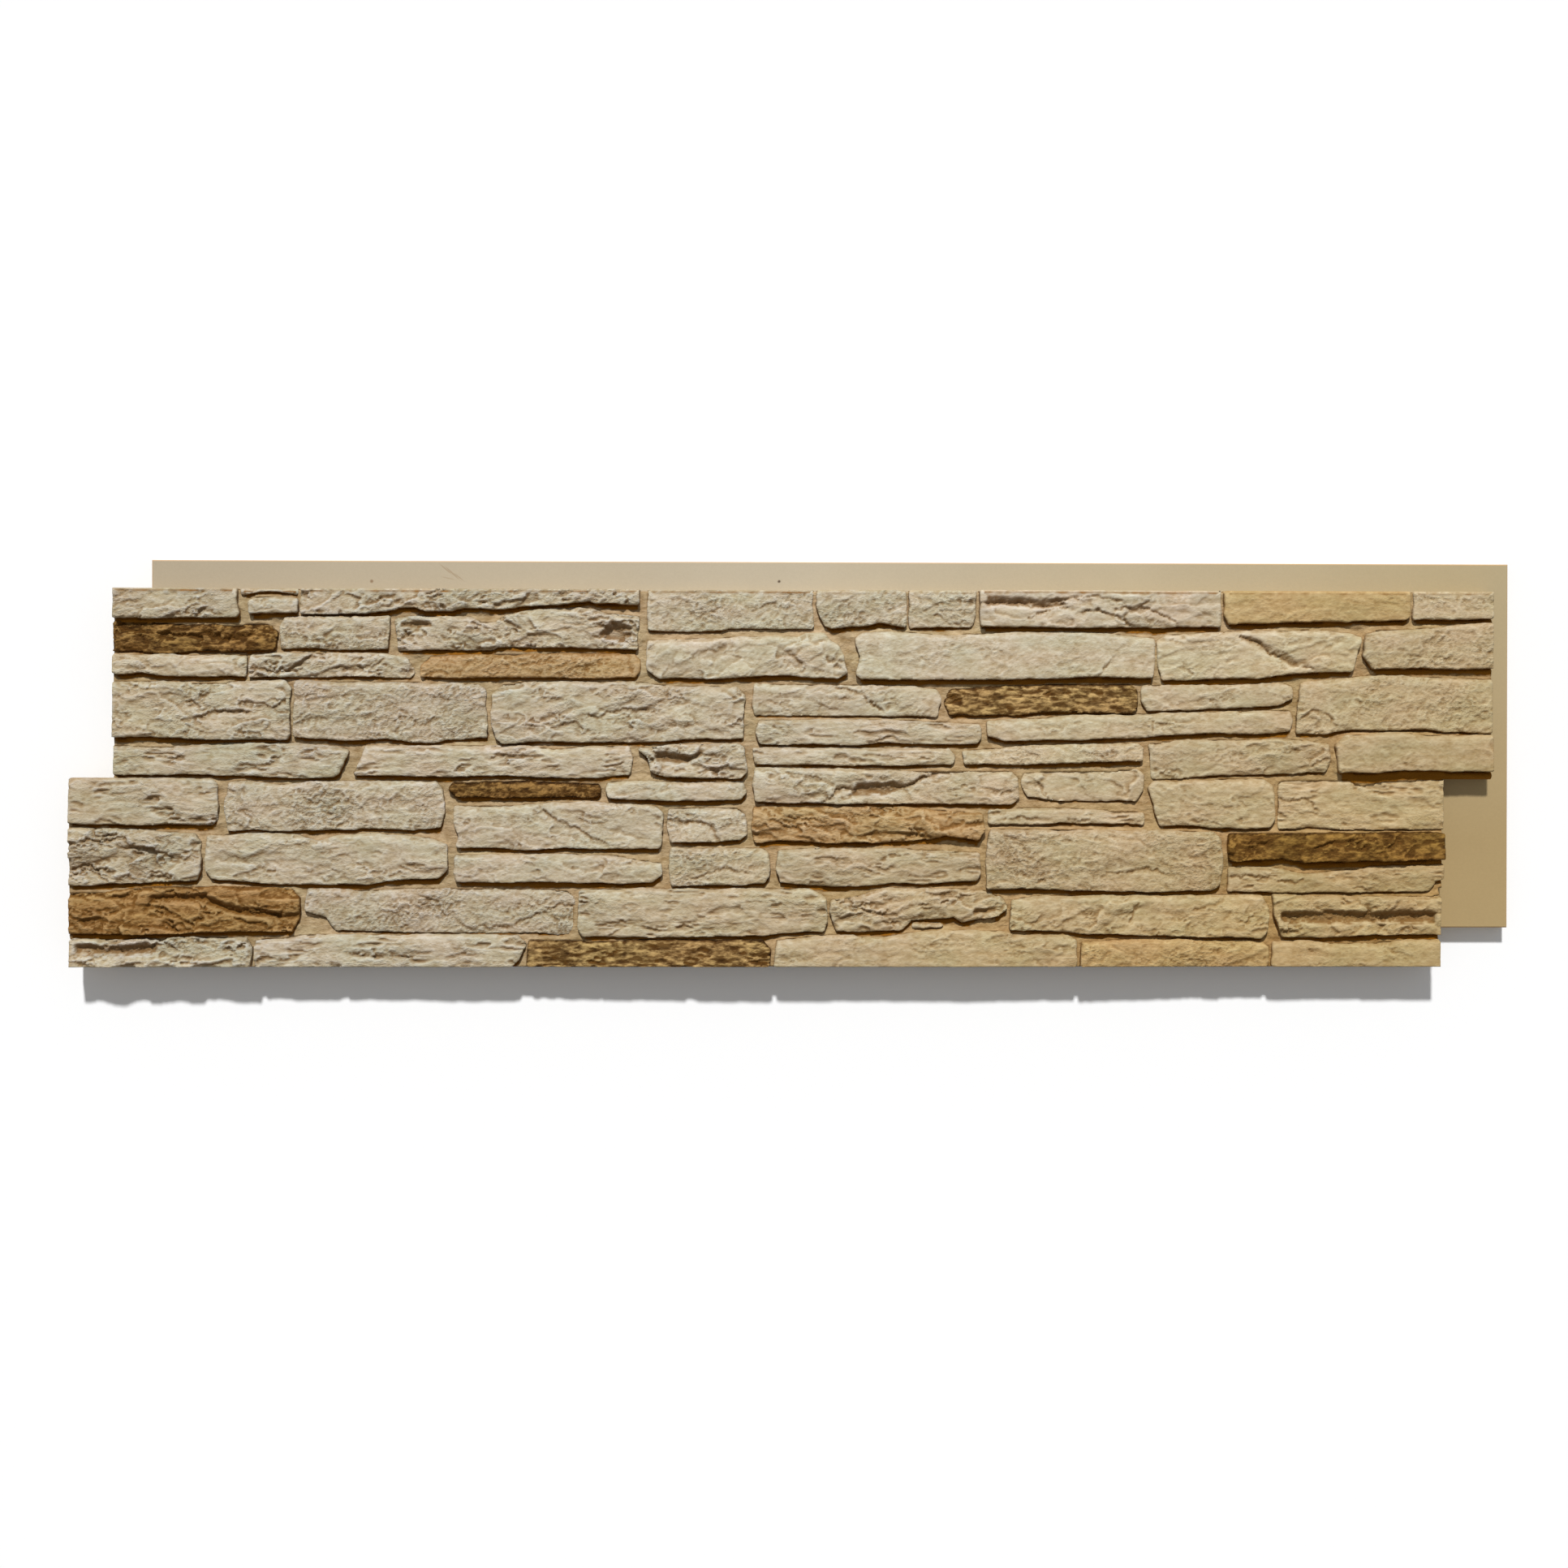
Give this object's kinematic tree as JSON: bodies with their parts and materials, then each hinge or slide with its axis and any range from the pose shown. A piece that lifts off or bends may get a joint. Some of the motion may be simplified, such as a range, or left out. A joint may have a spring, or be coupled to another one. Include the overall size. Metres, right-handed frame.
{
  "type": "faux stone wall panel",
  "caption": "Light moulded wall panel faced like dry-stacked split stone, with stepped ends, a nailing flange along the top and one end, and laps along the foot and the other end.",
  "frame": {"origin": "middle of the overall length and height, on the flat back", "axes": "+X along the courses towards the end with the flange, +Y up the wall, +Z out of the wall through the stones; the panel lies on its back"},
  "size_m": [1.105, 0.311, 0.032],
  "materials": {
    "moulded_stone": "matt paint over moulded polyurethane, cream and tan stones with a few dark brown ones"
  },
  "bodies": {
    "root": {"stone_panel": "moulded_stone"}
  },
  "joints": []
}
